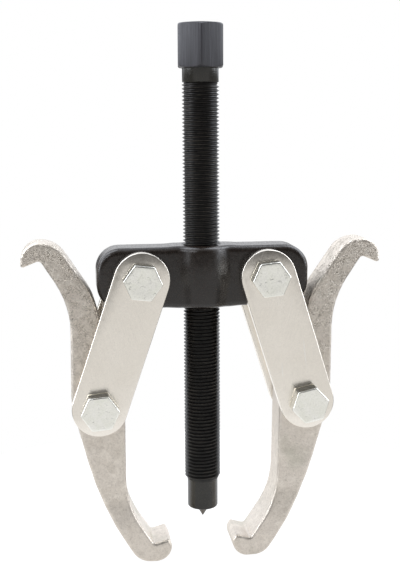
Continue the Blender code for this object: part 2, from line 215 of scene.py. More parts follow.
def hexagon(across, radius, turn):
    """COLUMNS points round a hexagon with rounded corners, from the corner at turn degrees."""
    inner = (across / 2 - radius) / cos(pi / 6)
    flats = COLUMNS // 6 - 3
    arcs = []
    for k in range(6):
        a = radians(turn + 60 * k)
        arcs.append([Vector((inner * cos(a) + radius * cos(a + radians(f)),
                             inner * sin(a) + radius * sin(a + radians(f)))) for f in (-30, 0, 30)])
    points = []
    for k in range(6):
        ahead = arcs[(k + 1) % 6][0]
        points += arcs[k] + [arcs[k][2].lerp(ahead, (i + 1) / (flats + 1)) for i in range(flats)]
    return points


def hex_rows(across, chamfer, turn, face, inward, edge, axis):
    """Rows from a hexagon's end face to its wall, chamfered at 30 degrees outside one radius.

    inward is +1 where the body lies above the end face and -1 where it lies below.
    Returns functions that each make one ring, the outermost last.
    """
    outline = hexagon(across, 0.35 * MM, turn)

    def row(within, limit, drop):
        """Ring held within the hexagon's wall and one radius, and rounded down by drop."""
        ring = []
        for p in outline:
            full = p.length
            r = min(full - within * edge, limit)
            cone = max(r - chamfer, 0) * tan(radians(30))
            q = p * (r / full)
            ring.append(spot(q.x, q.y, face + inward * (cone + drop * edge), axis))
        return lambda bm: [bm.verts.new(point) for point in ring]

    return [row(2.4, chamfer - 0.5 * edge, 0.0), row(1.9, chamfer, 0.05),
            row(1.1, chamfer + edge, 0.12), row(0.6, across, 0.28),
            row(0.17, across, 0.6), row(0.0, across, 1.1)]


def thread(bm, radius, pitch, top, bottom, limit, axis):
    """Right-hand thread between two heights; limit(height) caps its radius.

    Returns its upper and lower end rings.
    """
    depth = THREAD_DEPTH_SHARE * pitch
    form = len(THREAD_FORM)
    rows = form * (ceil((top - bottom) / pitch) + 2)
    first = circle(bm, limit(top), top, axis)
    last = circle(bm, limit(bottom), bottom, axis)
    columns = []
    for j in range(COLUMNS):
        a = 2 * pi * j / COLUMNS
        column = []
        for m in range(rows + 1):
            share, sunk = THREAD_FORM[m % form]
            height = top + pitch * (1 - m // form - share + j / COLUMNS)
            if height >= top - 0.02 * pitch:
                column.append(first[j])
            elif height <= bottom + 0.02 * pitch:
                column.append(last[j])
            else:
                r = min(radius - depth * sunk, limit(height))
                column.append(bm.verts.new(spot(r * cos(a), r * sin(a), height, axis)))
        columns.append(column)
    for j in range(COLUMNS):
        here, there = columns[j], columns[(j + 1) % COLUMNS]
        back = form if j == COLUMNS - 1 else 0
        for m in range(rows):
            corners = [here[m], here[m + 1], there[max(m + 1 - back, 0)], there[max(m - back, 0)]]
            corners = list(dict.fromkeys(corners))
            if len(corners) > 2:
                bm.faces.new(corners)
    return first, last


def rounded(corners, step):
    """Outline with an arc in each corner; corners are (x, z, radius) in order."""
    outline = []
    count = len(corners)
    for i, (x, z, radius) in enumerate(corners):
        here = Vector((x, z))
        back = (Vector(corners[i - 1][:2]) - here).normalized()
        ahead = (Vector(corners[(i + 1) % count][:2]) - here).normalized()
        half = back.angle(ahead) / 2
        centre = here + (back + ahead).normalized() * (radius / sin(half))
        start = here + back * (radius / tan(half)) - centre
        a0 = atan2(start.y, start.x)
        turn = pi - 2 * half
        if back.cross(ahead) > 0:
            turn = -turn
        parts = max(1, ceil(abs(turn) / radians(step)))
        for k in range(parts + 1):
            a = a0 + turn * k / parts
            outline.append((centre.x + radius * cos(a), centre.y + radius * sin(a)))
    return outline


def plate(name, outline, y0, y1):
    bm = bmesh.new()
    face = bm.faces.new([bm.verts.new((x, y0, z)) for x, z in outline])
    grown = bmesh.ops.extrude_face_region(bm, geom=[face])
    moved = [g for g in grown["geom"] if isinstance(g, bmesh.types.BMVert)]
    bmesh.ops.translate(bm, verts=moved, vec=(0, y1 - y0, 0))
    return new_object(name, bm)


def remesh(obj, size):
    mod = obj.modifiers.new("Remesh", "REMESH")
    mod.mode, mod.voxel_size = "VOXEL", size
    return freeze(obj)


def settle(obj, field, rounds=6):
    """Draw every vertex onto the surface where field(points) gives no distance."""
    count = len(obj.data.vertices)
    co = np.empty(count * 3)
    obj.data.vertices.foreach_get("co", co)
    co = co.reshape(-1, 3)
    for _ in range(rounds):
        distance, slope = field(co)
        steep = np.maximum((slope ** 2).sum(1), 0.25)
        co = co - slope * (distance / steep)[:, None]
    obj.data.vertices.foreach_set("co", co.ravel())
    obj.data.update()
    return obj


def relax(obj, rounds=2):
    """Even out the spacing of the vertices."""
    bm = bmesh.new()
    bm.from_mesh(obj.data)
    for _ in range(rounds):
        bmesh.ops.smooth_vert(bm, verts=bm.verts, factor=0.5, use_axis_x=True, use_axis_y=True,
                              use_axis_z=True)
    bm.to_mesh(obj.data)
    bm.free()
    obj.data.update()
    return obj


def pock(obj, amount, scale, seed):
    """Uneven forged skin: each vertex sinks by smooth noise, never standing proud."""
    shift = Vector((seed, 2.3 * seed, 3.7 * seed))
    mesh = obj.data
    normals = [v.normal.copy() for v in mesh.vertices]
    for v, n in zip(mesh.vertices, normals):
        broad = noise.noise(v.co * scale + shift)
        fine = noise.noise(v.co * scale * 4.1 - shift)
        v.co -= n * amount * (0.5 + 0.36 * broad + 0.14 * fine)
    mesh.update()
    return obj


def rounded_edge(a, b, radius):
    """Distance to the shape inside both a and b, with their shared edge rounded."""
    qa, qb = a + radius, b + radius
    return np.minimum(np.maximum(qa, qb), 0) + np.hypot(np.maximum(qa, 0), np.maximum(qb, 0)) - radius


def outline_distance(outline, flat):
    """Distance from each point to a closed outline, negative inside, and the direction away."""
    starts = np.array(outline)
    best = np.full(len(flat), np.inf)
    toward = np.zeros_like(flat)
    inside = np.zeros(len(flat), bool)
    for one, two in zip(starts, np.roll(starts, -1, axis=0)):
        edge = two - one
        if edge @ edge < 1e-14:
            continue
        offset = flat - one
        share = np.clip(offset @ edge / (edge @ edge), 0, 1)
        gap = offset - share[:, None] * edge
        length = np.hypot(gap[:, 0], gap[:, 1])
        closer = length < best
        best = np.where(closer, length, best)
        toward[closer] = gap[closer]
        spans = (one[1] > flat[:, 1]) != (two[1] > flat[:, 1])
        if edge[1]:
            inside ^= spans & (flat[:, 0] < one[0] + (flat[:, 1] - one[1]) * edge[0] / edge[1])
    sign = np.where(inside, -1.0, 1.0)
    return best * sign, toward / np.maximum(best, 1e-9)[:, None] * sign[:, None]


def bolt_hole(centre):
    """Cutter for a pivot hole with broken edges at the faces of a bar."""
    r, h, c = BOLT_HOLE_RADIUS, BAR_HALF, 0.5 * MM
    return turned("hole", [(0, -2 * h), (r + 2 * c, -2 * h), (r + 2 * c, -h - c), (r, -h + c),
                           (r, h - c), (r + 2 * c, h + c), (r + 2 * c, 2 * h), (0, 2 * h)],
                  axis="Y", centre=centre)


# ---------------------------------------------------------------- node helpers

class Look:
    """A Principled material whose nodes are built up in code."""

    def __init__(self, name, metallic, specular=0.5):
        self.mat = bpy.data.materials.new(name)
        self.mat.use_nodes = True
        self.tree = self.mat.node_tree
        self.shader = self.tree.nodes["Principled BSDF"]
        self.shader.inputs["Metallic"].default_value = metallic
        self.shader.inputs["Specular IOR Level"].default_value = specular
        self.place = self.add("ShaderNodeTexCoord").outputs["Object"]

    def put(self, socket, value):
        if isinstance(value, bpy.types.NodeSocket):
            self.tree.links.new(value, socket)
        elif isinstance(value, tuple) and len(value) == 3 and len(socket.default_value) == 4:
            socket.default_value = (*value, 1.0)
        else:
            socket.default_value = value

    def add(self, kind, inputs=None, **settings):
        made = self.tree.nodes.new(kind)
        for key, value in settings.items():
            setattr(made, key, value)
        for key, value in (inputs or {}).items():
            self.put(made.inputs[key], value)
        return made

    def stretch(self, scale, turn=0.0):
        """Coordinates turned about Y by turn degrees, then scaled along each axis."""
        turned_place = self.add("ShaderNodeMapping", {
            "Vector": self.place, "Rotation": (0, radians(turn), 0)})
        return self.add("ShaderNodeMapping", {"Vector": turned_place.outputs[0], "Scale": scale}).outputs[0]

    def shift(self, by):
        return self.add("ShaderNodeMapping", {"Vector": self.place, "Location": by}).outputs[0]

    def noise(self, scale, detail=4.0, roughness=0.55, place=None, distortion=0.0):
        return self.add("ShaderNodeTexNoise", {
            "Vector": place or self.place, "Scale": scale, "Detail": detail,
            "Roughness": roughness, "Distortion": distortion}).outputs["Fac"]

    def cells(self, scale, place=None):
        return self.add("ShaderNodeTexVoronoi", {
            "Vector": place or self.place, "Scale": scale, "Randomness": 1.0}).outputs["Distance"]

    def fit(self, value, low, high, out_low=0.0, out_high=1.0, smooth=False):
        return self.add("ShaderNodeMapRange", {
            "Value": value, "From Min": low, "From Max": high, "To Min": out_low, "To Max": out_high},
            interpolation_type="SMOOTHSTEP" if smooth else "LINEAR").outputs[0]

    def calc(self, operation, one, two=None):
        made = self.add("ShaderNodeMath", operation=operation)
        self.put(made.inputs[0], one)
        if two is not None:
            self.put(made.inputs[1], two)
        return made.outputs[0]

    def blend(self, factor, one, two):
        made = self.add("ShaderNodeMix", data_type="RGBA")
        self.put(made.inputs["Factor"], factor)
        for socket, value in ((made.inputs[6], one), (made.inputs[7], two)):
            self.put(socket, value)
        return made.outputs[2]

    def axis(self, index):
        return self.add("ShaderNodeSeparateXYZ", {"Vector": self.place}).outputs[index]

    def relief(self, height, distance, onto=None):
        made = self.add("ShaderNodeBump", {"Height": height, "Distance": distance, "Strength": 1.0})
        if onto is not None:
            self.put(made.inputs["Normal"], onto)
        return made.outputs[0]

    def finish(self, colour, roughness, normal=None):
        self.put(self.shader.inputs["Base Color"], colour)
        self.put(self.shader.inputs["Roughness"], roughness)
        if normal is not None:
            self.put(self.shader.inputs["Normal"], normal)
        return self.mat


def zinc_strap(name, angle, seed):
    """Smooth zinc plate on flat bar: faint lengthwise grain, soft clouds, a few handling marks."""
    look = Look(name, 1.0)
    grain = look.noise(1.0, 5.0, 0.6, look.stretch((2600, 2600, 110), angle))
    clouds = look.noise(75.0 + seed, 3.0)
    speckle = look.noise(1500.0, 3.0, 0.6)
    marks = look.noise(1.0, 2.0, 0.5, look.stretch((900, 900, 45), angle + 24))
    scratch = look.fit(marks, 0.70, 0.76)
    colour = look.blend(look.fit(clouds, 0.3, 0.7), (0.90, 0.845, 0.76), (0.96, 0.905, 0.82))
    colour = look.blend(look.fit(speckle, 0.35, 0.75, 0.0, 0.14), colour, (0.62, 0.58, 0.52))
    colour = look.blend(look.calc("MULTIPLY", scratch, 0.35), colour, (0.93, 0.92, 0.89))
    rough = look.calc("ADD", look.fit(grain, 0.3, 0.7, 0.17, 0.24), look.fit(clouds, 0.3, 0.7, 0.0, 0.05))
    normal = look.relief(grain, 0.02 * MM)
    normal = look.relief(look.noise(240.0, 2.0), 0.05 * MM, onto=normal)
    return look.finish(colour, rough, normal)


def zinc_forging(name, seed):
    """Zinc plate over a shot-blasted forging: mottled grey, pits, darker patches, bright ridges."""
    look = Look(name, 1.0)
    shifted = look.shift((seed, 0.3 * seed, 0))
    broad = look.noise(70.0, 3.0, 0.5, shifted)
    blotch = look.noise(420.0, 5.0, 0.62, shifted, 0.5)
    grit = look.noise(1700.0, 4.0, 0.65, shifted)
    # rougher towards the upper claw
    coarse = look.fit(look.axis(2), -0.055, -0.005, 0.25, 1.0, smooth=True)
    pits = look.fit(look.cells(760.0, shifted), 0.04, 0.30, 1.0, 0.0, smooth=True)
    rare = look.fit(look.noise(360.0, 2.0, 0.5, shifted), 0.50, 0.62)
    pits = look.calc("MULTIPLY", look.calc("MULTIPLY", pits, rare), coarse)
    stain = look.fit(look.noise(58.0, 2.0, 0.5, shifted), 0.58, 0.74)
    ridges = look.calc("MULTIPLY", look.fit(blotch, 0.55, 0.72), coarse)
    worn = look.noise(1150.0, 3.0, 0.55, shifted, 0.9)
    veins = look.fit(look.calc("ABSOLUTE", look.calc("SUBTRACT", worn, 0.5)),
                     0.010, 0.055, 1.0, 0.0, smooth=True)
    veins = look.calc("MULTIPLY", veins, look.fit(look.noise(260.0, 2.0, 0.5, shifted), 0.40, 0.54))
    veins = look.calc("MULTIPLY", veins, look.fit(coarse, 0.3, 1.0, 0.15, 1.0))
    colour = look.blend(look.fit(blotch, 0.32, 0.68), (0.69, 0.625, 0.545), (0.88, 0.81, 0.72))
    colour = look.blend(look.fit(broad, 0.35, 0.68, 0.0, 0.55), colour, (0.75, 0.685, 0.62))
    colour = look.blend(look.calc("MULTIPLY", stain, 0.5), colour, (0.45, 0.45, 0.36))
    colour = look.blend(look.calc("MULTIPLY", ridges, 0.55), colour, (0.86, 0.82, 0.74))
    colour = look.blend(look.calc("MULTIPLY", look.fit(grit, 0.50, 0.72), look.fit(coarse, 0, 1, 0.25, 0.6)),
                        colour, (0.34, 0.31, 0.27))
    colour = look.blend(look.calc("MULTIPLY", veins, 0.75), colour, (0.17, 0.14, 0.10))
    colour = look.blend(look.calc("MULTIPLY", pits, 0.85), colour, (0.13, 0.11, 0.09))
    rough = look.calc("ADD", look.fit(blotch, 0.3, 0.7, 0.36, 0.48), look.fit(grit, 0.3, 0.7, -0.04, 0.06))
    height = look.calc("MULTIPLY", blotch, look.fit(coarse, 0, 1, 0.5, 1.2))
    normal = look.relief(height, 0.18 * MM)
    normal = look.relief(grit, 0.045 * MM, onto=normal)
    normal = look.relief(pits, -0.15 * MM, onto=normal)
    normal = look.relief(veins, -0.08 * MM, onto=normal)
    return look.finish(colour, rough, normal)


def zinc_fastener(name, tint, seed):
    """Bright zinc on a cold-headed fastener: cloudy sheen, tool ripple, tiny dings."""
    look = Look(name, 1.0)
    shifted = look.shift((seed, 0, seed))
    clouds = look.noise(260.0, 4.0, 0.6, shifted, 0.6)
    fine = look.noise(2400.0, 4.0, 0.6, shifted)
    dings = look.fit(look.noise(700.0, 3.0, 0.6, shifted, 0.8), 0.60, 0.74)
    colour = look.blend(look.fit(clouds, 0.3, 0.7), tint, (1.0, 0.985, 0.93))
    colour = look.blend(look.fit(fine, 0.5, 0.75, 0.0, 0.25), colour, (0.60, 0.60, 0.52))
    colour = look.blend(look.calc("MULTIPLY", dings, 0.28), colour, (0.58, 0.58, 0.52))
    rough = look.calc("ADD", look.fit(clouds, 0.3, 0.7, 0.15, 0.22), look.fit(fine, 0.3, 0.7, 0.0, 0.06))
    normal = look.relief(clouds, 0.05 * MM)
    normal = look.relief(dings, -0.03 * MM, onto=normal)
    return look.finish(colour, rough, normal)


def black_forging(name):
    """Black finish over a forging: brown-black, satin, fine mottling, rubbed on high spots."""
    look = Look(name, 0.0, 0.6)
    broad = look.noise(95.0, 3.0)
    mottle = look.noise(650.0, 5.0, 0.65)
    grit = look.noise(2100.0, 4.0, 0.6)
    colour = look.blend(look.fit(mottle, 0.3, 0.7), (0.008, 0.0050, 0.0034), (0.019, 0.0122, 0.0084))
    colour = look.blend(look.fit(broad, 0.40, 0.70, 0.0, 0.5), colour, (0.026, 0.021, 0.018))
    colour = look.blend(look.fit(grit, 0.62, 0.78, 0.0, 0.6), colour, (0.075, 0.062, 0.050))
    rough = look.calc("ADD", look.fit(mottle, 0.3, 0.7, 0.20, 0.31), look.fit(grit, 0.3, 0.7, -0.03, 0.06))
    normal = look.relief(broad, 0.12 * MM)
    normal = look.relief(mottle, 0.05 * MM, onto=normal)
    normal = look.relief(grit, 0.018 * MM, onto=normal)
    return look.finish(colour, rough, normal)


def black_oxide_thread(name):
    """Black oxide on a rolled thread, with a painted highlight in patches along its crests."""
    look = Look(name, 0.35, 0.5)
    parts = look.add("ShaderNodeSeparateXYZ", {"Vector": look.place}).outputs
    radius = look.calc("SQRT", look.calc("ADD", look.calc("MULTIPLY", parts[0], parts[0]),
                                       look.calc("MULTIPLY", parts[1], parts[1])))
    crest = look.fit(radius, THREAD_RADIUS - 0.10 * MM, THREAD_RADIUS - 0.01 * MM)
    patches = look.fit(look.noise(130.0, 4.0, 0.6), 0.38, 0.62)
    fine = look.noise(1800.0, 3.0)
    # painted highlight: a lighter colour in patches along the thread's crests
    crest_highlight = look.calc("MULTIPLY", crest, look.calc("MULTIPLY", patches, look.fit(fine, 0.35, 0.6)))
    oil = look.noise(300.0, 3.0)
    colour = look.blend(look.fit(oil, 0.3, 0.7), (0.010, 0.0095, 0.009), (0.022, 0.020, 0.018))
    colour = look.blend(look.calc("MULTIPLY", crest_highlight, 0.55), colour, (0.20, 0.175, 0.14))
    rough = look.calc("ADD", look.fit(fine, 0.3, 0.7, 0.26, 0.40), look.calc("MULTIPLY", crest_highlight, 0.08))
    return look.finish(colour, rough, look.relief(fine, 0.015 * MM))


def black_oxide_turned(name):
    """Black oxide over lathe-turned steel: fine rings round the axis."""
    look = Look(name, 0.1, 0.55)
    rings = look.noise(1.0, 4.0, 0.6, look.stretch((60, 60, 5200)))
    fine = look.noise(1500.0, 4.0)
    clouds = look.noise(190.0, 3.0)
    colour = look.blend(look.fit(clouds, 0.3, 0.7), (0.0125, 0.0115, 0.0085), (0.0235, 0.0210, 0.0155))
    colour = look.blend(look.fit(fine, 0.60, 0.78, 0.0, 0.5), colour, (0.060, 0.054, 0.042))
    rough = look.calc("ADD", look.fit(rings, 0.3, 0.7, 0.17, 0.24), look.fit(fine, 0.3, 0.7, 0.0, 0.06))
    normal = look.relief(rings, 0.03 * MM)
    return look.finish(colour, rough, look.relief(fine, 0.015 * MM, onto=normal))


def black_oxide_hex(name):
    """Charcoal hexagon cut from drawn bar: draw lines along its axis, chips of bare steel."""
    look = Look(name, 0.1, 0.4)
    drawn = look.noise(1.0, 4.0, 0.65, look.stretch((1500, 1500, 45)))
    wide = look.noise(1.0, 3.0, 0.5, look.stretch((600, 600, 30)))
    fine = look.noise(1900.0, 4.0, 0.6)
    chips = look.fit(look.noise(520.0, 3.0, 0.6), 0.72, 0.76)
    colour = look.blend(look.fit(drawn, 0.3, 0.7), (0.028, 0.0275, 0.030), (0.082, 0.081, 0.092))
    colour = look.blend(look.fit(wide, 0.35, 0.65, 0.0, 0.35), colour, (0.050, 0.050, 0.056))
    colour = look.blend(look.fit(fine, 0.60, 0.78, 0.0, 0.3), colour, (0.030, 0.030, 0.032))
    colour = look.blend(look.calc("MULTIPLY", chips, 0.4), colour, (0.20, 0.20, 0.195))
    rough = look.calc("ADD", look.fit(drawn, 0.3, 0.7, 0.34, 0.46), look.fit(fine, 0.3, 0.7, -0.04, 0.05))
    normal = look.relief(drawn, 0.06 * MM)
    normal = look.relief(wide, 0.03 * MM, onto=normal)
    return look.finish(colour, rough, look.relief(fine, 0.015 * MM, onto=normal))


def ground_steel(name):
    """Hardened point: dark, with grinding rings towards the tip."""
    look = Look(name, 1.0)
    rings = look.noise(1.0, 3.0, 0.6, look.stretch((80, 80, 6500)))
    fine = look.noise(1800.0, 3.0)
    colour = look.blend(look.fit(rings, 0.3, 0.7), (0.11, 0.10, 0.088), (0.21, 0.19, 0.165))
    colour = look.blend(look.fit(fine, 0.55, 0.75, 0.0, 0.4), colour, (0.06, 0.052, 0.045))
    return look.finish(colour, look.fit(fine, 0.3, 0.7, 0.28, 0.44), look.relief(rings, 0.03 * MM))


def nylon(name):
    """Moulded blue nylon: slightly cloudy, fine drag marks where the thread has passed."""
    look = Look(name, 0.0, 0.45)
    clouds = look.noise(420.0, 3.0)
    fine = look.noise(2600.0, 3.0)
    colour = look.blend(look.fit(clouds, 0.3, 0.7), (0.035, 0.12, 0.30), (0.06, 0.18, 0.40))
    colour = look.blend(look.fit(fine, 0.55, 0.75, 0.0, 0.3), colour, (0.16, 0.28, 0.46))
    return look.finish(colour, look.fit(fine, 0.3, 0.7, 0.38, 0.52), look.relief(fine, 0.02 * MM))


# ---------------------------------------------------------------- pieces

def build_crosshead():
    """Forged yoke: soft fillets from the boss to the arms, crowned faces, cut bores."""
    half_l, half_h, corner = CROSSHEAD_HALF_LENGTH, CROSSHEAD_HALF_HEIGHT, CROSSHEAD_CORNER

    def distance(p):
        x, y, z = np.abs(p).T
        rho = np.hypot(x, y)
        bar = y - BAR_HALF + CROSSHEAD_CROWN * (z / half_h) ** 2
        boss = rho - BOSS_RADIUS + BOSS_CROWN * (z / half_h) ** 2
        near = np.maximum(CROSSHEAD_FILLET - np.abs(bar - boss), 0) / CROSSHEAD_FILLET
        plan = np.minimum(bar, boss) - near ** 2 * CROSSHEAD_FILLET / 4
        rise = np.clip((16 * MM - rho) / (5 * MM), 0, 1)
        rise = BOSS_LIFT * rise * rise * (3 - 2 * rise)
        outline = rounded_edge(x - half_l, z - half_h - rise, corner)
        return rounded_edge(plan, outline, CROSSHEAD_EDGE)

    def field(p):
        here = distance(p)
        step = 0.01 * MM
        slope = np.empty_like(p)
        for k in range(3):
            q = p.copy()
            q[:, k] += step
            slope[:, k] = (distance(q) - here) / step
        return here, slope

    r = corner
    outline = rounded([(-half_l, -half_h, r), (half_l, -half_h, r),
                       (half_l, half_h, r), (-half_l, half_h, r)], 9)
    body = plate("crosshead_forging", outline, -BAR_HALF, BAR_HALF)
    h = half_h + BOSS_LIFT
    boss = turned("boss", [(0, -h), (BOSS_RADIUS - MM, -h), (BOSS_RADIUS, -h + MM),
                           (BOSS_RADIUS, h - MM), (BOSS_RADIUS - MM, h), (0, h)])
    mod = body.modifiers.new("Boss", "BOOLEAN")
    mod.operation, mod.solver, mod.object = "UNION", "EXACT", boss
    freeze(body)
    bpy.data.objects.remove(boss)
    remesh(body, CROSSHEAD_VOXEL)
    settle(body, field)
    pock(body, *CROSSHEAD_SKIN, seed=3.1)
    bore, lead = THREAD_RADIUS + 0.1 * MM, 0.8 * MM
    cut(body, turned("bore", [(0, -2 * h), (bore + 2 * lead, -2 * h), (bore + 2 * lead, -h - lead),
                              (bore, -h + lead), (bore, h - lead), (bore + 2 * lead, h + lead),
                              (bore + 2 * lead, 2 * h), (0, 2 * h)]))
    for side in (-1, 1):
        cut(body, bolt_hole((side * PIVOT_HALF_SPAN, 0, 0)))
    return body


def build_link(name, upper, lower, front):
    """Blanked strap with broken edges and two holes."""
    along = atan2(lower.z - upper.z, lower.x - upper.x)
    outline = []
    for centre, start in ((lower, along - pi / 2), (upper, along + pi / 2)):
        for k in range(LINK_END_STEPS + 1):
            a = start + pi * k / LINK_END_STEPS
            outline.append((centre.x + LINK_HALF_WIDTH * cos(a), centre.z + LINK_HALF_WIDTH * sin(a)))
    y0, y1 = (-LINK_OUTER, -LINK_INNER) if front else (LINK_INNER, LINK_OUTER)
    link = plate(name, outline, y0, y1)
    mod = link.modifiers.new("Edge", "BEVEL")
    mod.width, mod.segments, mod.limit_method, mod.angle_limit = LINK_EDGE, 3, "ANGLE", radians(60)
    freeze(link)
    r, c = BOLT_HOLE_RADIUS, 0.3 * MM
    for centre in (upper, lower):
        cut(link, turned("hole", [(0, y0 - MM), (r + 2 * c, y0 - MM), (r + 2 * c, y0 - c), (r, y0 + c),
                                  (r, y1 - c), (r + 2 * c, y1 + c), (r + 2 * c, y1 + MM), (0, y1 + MM)],
                         axis="Y", centre=centre))
    return link


def build_jaw(name, pivot, outward, turn, seed):
    """S-shaped forging with softly rounded edges and an uneven skin."""
    a = radians(turn)
    corners = []
    for u, w, r in JAW_PROFILE:
        u2, w2 = u * cos(a) - w * sin(a), u * sin(a) + w * cos(a)
        corners.append((pivot.x + outward * u2 * MM, pivot.z + w2 * MM, r * MM))
    outline = rounded(corners, 6)

    def half_thickness(z):
        share = np.clip((pivot.z - z - CLAW_SPREAD[0]) / (CLAW_SPREAD[1] - CLAW_SPREAD[0]), 0, 1)
        return BAR_HALF + (CLAW_HALF - BAR_HALF) * share * share * (3 - 2 * share)

    def field(p):
        d2, n2 = outline_distance(outline, p[:, [0, 2]])
        half = half_thickness(p[:, 2])
        radius = np.where(p[:, 1] < 0, JAW_EDGE, JAW_REAR_EDGE)
        qa, qb = d2 + radius, np.abs(p[:, 1]) - half + radius
        far_a, far_b = np.maximum(qa, 0), np.maximum(qb, 0)
        length = np.hypot(far_a, far_b)
        distance = np.minimum(np.maximum(qa, qb), 0) + length - radius
        inner = length < 1e-9
        share_a = np.where(inner, qa > qb, far_a / np.maximum(length, 1e-9))
        share_b = np.where(inner, qa <= qb, far_b / np.maximum(length, 1e-9))
        slope = np.stack([n2[:, 0] * share_a, np.sign(p[:, 1]) * share_b, n2[:, 1] * share_a], axis=1)
        return distance, slope

    jaw = plate(name, outline, -BAR_HALF, BAR_HALF)
    remesh(jaw, JAW_VOXEL)
    for v in jaw.data.vertices:
        v.co.y *= float(half_thickness(v.co.z)) / BAR_HALF
    settle(jaw, field, 3)
    for _ in range(2):
        relax(jaw)
        settle(jaw, field, 2)
    pock(jaw, *JAW_SKIN, seed)
    cut(jaw, bolt_hole(pivot))
    return jaw


def build_bolt(name, pivot, turn):
    """Hex bolt: chamfered head, plain shank, threaded end standing just out of the nut."""
    bm = bmesh.new()
    face = -BEARING_FACE - BOLT_HEAD
    rings = [circle(bm, r * MM, face + dish * MM, "Y", radians(turn))
             for r, dish in ((0, 0.08), (1.6, 0.075), (3.2, 0.055), (4.5, 0.025), (5.2, 0.005))]
    rings += [make(bm) for make in hex_rows(BOLT_HEX, BOLT_TOP_CHAMFER, turn, face, 1, 0.26 * MM, "Y")]
    rings += [make(bm) for make in reversed(
        hex_rows(BOLT_HEX, BOLT_SEAT_CHAMFER, turn, -BEARING_FACE, -1, 0.12 * MM, "Y"))]
    end = BEARING_FACE + NUT_HEIGHT + BOLT_PROUD
    rings += [circle(bm, BOLT_RADIUS + 0.35 * MM, -BEARING_FACE, "Y"),
              circle(bm, BOLT_RADIUS, -BEARING_FACE + 0.2 * MM, "Y"),
              circle(bm, BOLT_RADIUS, THREAD_RUNOUT - 0.1 * MM, "Y")]
    core = BOLT_RADIUS - THREAD_DEPTH_SHARE * BOLT_PITCH

    def limit(y):
        ends = min(BOLT_RADIUS, core - 0.1 * MM + (end - y) * 1.1)
        return ends if y > THREAD_RUNOUT + 1.4 * MM else min(ends, BOLT_RADIUS - 0.03 * MM)

    last, first = thread(bm, BOLT_RADIUS, BOLT_PITCH, end, THREAD_RUNOUT, limit, "Y")
    rings.append(first)
    skin(bm, rings)
    skin(bm, [last, circle(bm, 0.8 * core, end, "Y"), circle(bm, 0, end - 0.12 * MM, "Y")])
    bmesh.ops.translate(bm, verts=bm.verts, vec=pivot)
    return new_object(name, bm)


def build_nut(name, pivot, turn):
    """Lock nut: chamfered hexagon, filleted collar crimped over the nylon ring."""
    bm = bmesh.new()
    low, hex_top, top = BEARING_FACE, BEARING_FACE + NUT_HEX_HEIGHT, BEARING_FACE + NUT_HEIGHT
    bore, pocket = BOLT_RADIUS + GAP, RING_OUTER_RADIUS + 0.15 * MM
    floor = top - RING_HEIGHT - 2 * GAP
    chamfer, edge, c = NUT_CHAMFER, 0.14 * MM, NUT_COLLAR_RADIUS
    rings = [circle(bm, bore, low + 0.6 * MM, "Y"), circle(bm, bore + 0.5 * MM, low, "Y")]
    rings += [make(bm) for make in hex_rows(BOLT_HEX, chamfer, turn, low, 1, edge, "Y")]
    rings += [make(bm) for make in reversed(hex_rows(BOLT_HEX, chamfer, turn, hex_top, -1, edge, "Y"))]
    for r, y in ((c + 0.06 * MM, hex_top + 0.05 * MM), (c, hex_top + 0.25 * MM), (c, top - 1.1 * MM),
                 (c - 0.08 * MM, top - 0.55 * MM), (c - 0.30 * MM, top - 0.18 * MM),
                 (c - 0.62 * MM, top), (pocket + 0.1 * MM, top - 0.04 * MM),
                 (pocket - 0.02 * MM, top - 0.18 * MM), (pocket, top - 0.4 * MM),
                 (pocket, floor), (bore, floor)):
        rings.append(circle(bm, r, y, "Y"))
    skin(bm, rings, loop=True)
    bmesh.ops.translate(bm, verts=bm.verts, vec=pivot)
    return new_object(name, bm)


def build_ring(name, pivot):
    """Nylon ring with rounded edges, pressed out slightly between the thread's crests."""
    bm = bmesh.new()
    high = BEARING_FACE + NUT_HEIGHT - GAP
    low = high - RING_HEIGHT
    r, s, e = RING_INNER_RADIUS, RING_OUTER_RADIUS, 0.15 * MM
    loop = [(r, low + e), (r + e, low), (s - e, low), (s, low + e),
            (s, high - e), (s - e, high - 0.03 * MM),
            (0.5 * (r + s), high), (r + e, high - 0.03 * MM), (r, high - 1.5 * e),
            (r + 0.06 * MM, 0.5 * (low + high)), (r, low + 3 * e)]
    skin(bm, [circle(bm, rr, y, "Y") for rr, y in loop], loop=True)
    bmesh.ops.translate(bm, verts=bm.verts, vec=pivot)
    return new_object(name, bm)


